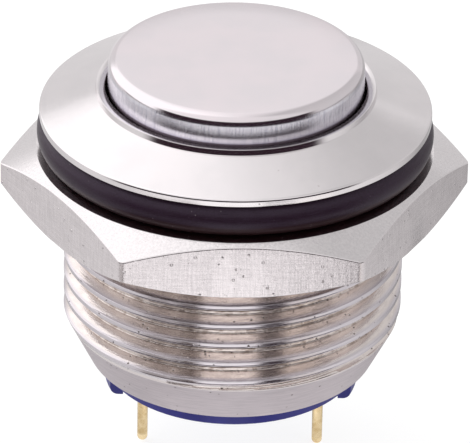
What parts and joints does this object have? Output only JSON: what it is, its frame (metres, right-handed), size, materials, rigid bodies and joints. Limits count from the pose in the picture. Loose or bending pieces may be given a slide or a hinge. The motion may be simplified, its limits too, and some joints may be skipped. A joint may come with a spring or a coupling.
{
  "type": "anti vandal push button",
  "caption": "Panel mount push button: a round metal button springs back in a bevelled, threaded housing with a ring seal, hexagonal mounting nut and moulded contact base with pins.",
  "frame": {"origin": "on the button's axis, in the plane of the flange's underside, which is the face that meets the panel", "axes": "+Z along the button's axis towards the user, +X through the two pins, -Y towards the viewer of the picture"},
  "size_m": [0.022, 0.0196, 0.0208],
  "materials": {
    "nickel_housing": "bright nickel plate",
    "nickel_nut": "satin nickel plate",
    "polished_button": "polished nickel plate",
    "black_rubber": "moulded rubber",
    "spring_steel": "drawn wire and stamped strip",
    "white_plastic": "moulded",
    "copper_alloy": "stamped strip",
    "silver_contact": "silver contact face",
    "blue_plastic": "moulded, satin",
    "gold_pin": "gold plate"
  },
  "bodies": {
    "housing": {"housing": "nickel_housing", "panel_seal": "black_rubber", "contact_base": "blue_plastic", "base_seal": "black_rubber", "fixed_contact_left": "silver_contact", "fixed_contact_right": "silver_contact", "terminal_left": "gold_pin", "terminal_right": "gold_pin", "return_spring": "spring_steel"},
    "button": {"button_cap": "polished_button", "stem_seal": "black_rubber", "button_clip": "spring_steel", "plunger": "white_plastic", "bridge_clip": "spring_steel"},
    "bridge": {"contact_bridge": "copper_alloy", "bridge_contact_left": "silver_contact", "bridge_contact_right": "silver_contact", "contact_spring": "spring_steel"},
    "nut": {"mounting_nut": "nickel_nut"}
  },
  "joints": [
    {"name": "button_press", "type": "slide", "parent": "housing", "child": "button", "axis": [0, 0, -1], "range_m": [0, 0.0012], "stiffness_N_per_m": 1000, "springref_m": -0.0015, "deforming": ["return_spring"]},
    {"name": "bridge_lift", "type": "slide", "parent": "button", "child": "bridge", "axis": [0, 0, 1], "range_m": [0, 0.0004], "deforming": ["contact_spring"]},
    {"name": "nut_run", "type": "slide", "parent": "housing", "child": "nut", "axis": [0, 0, -1], "range_m": [0, 0.008]}
  ],
  "couplings": [
    {"joint": "bridge_lift", "follows": "button_press", "ratio": 0.3333}
  ]
}
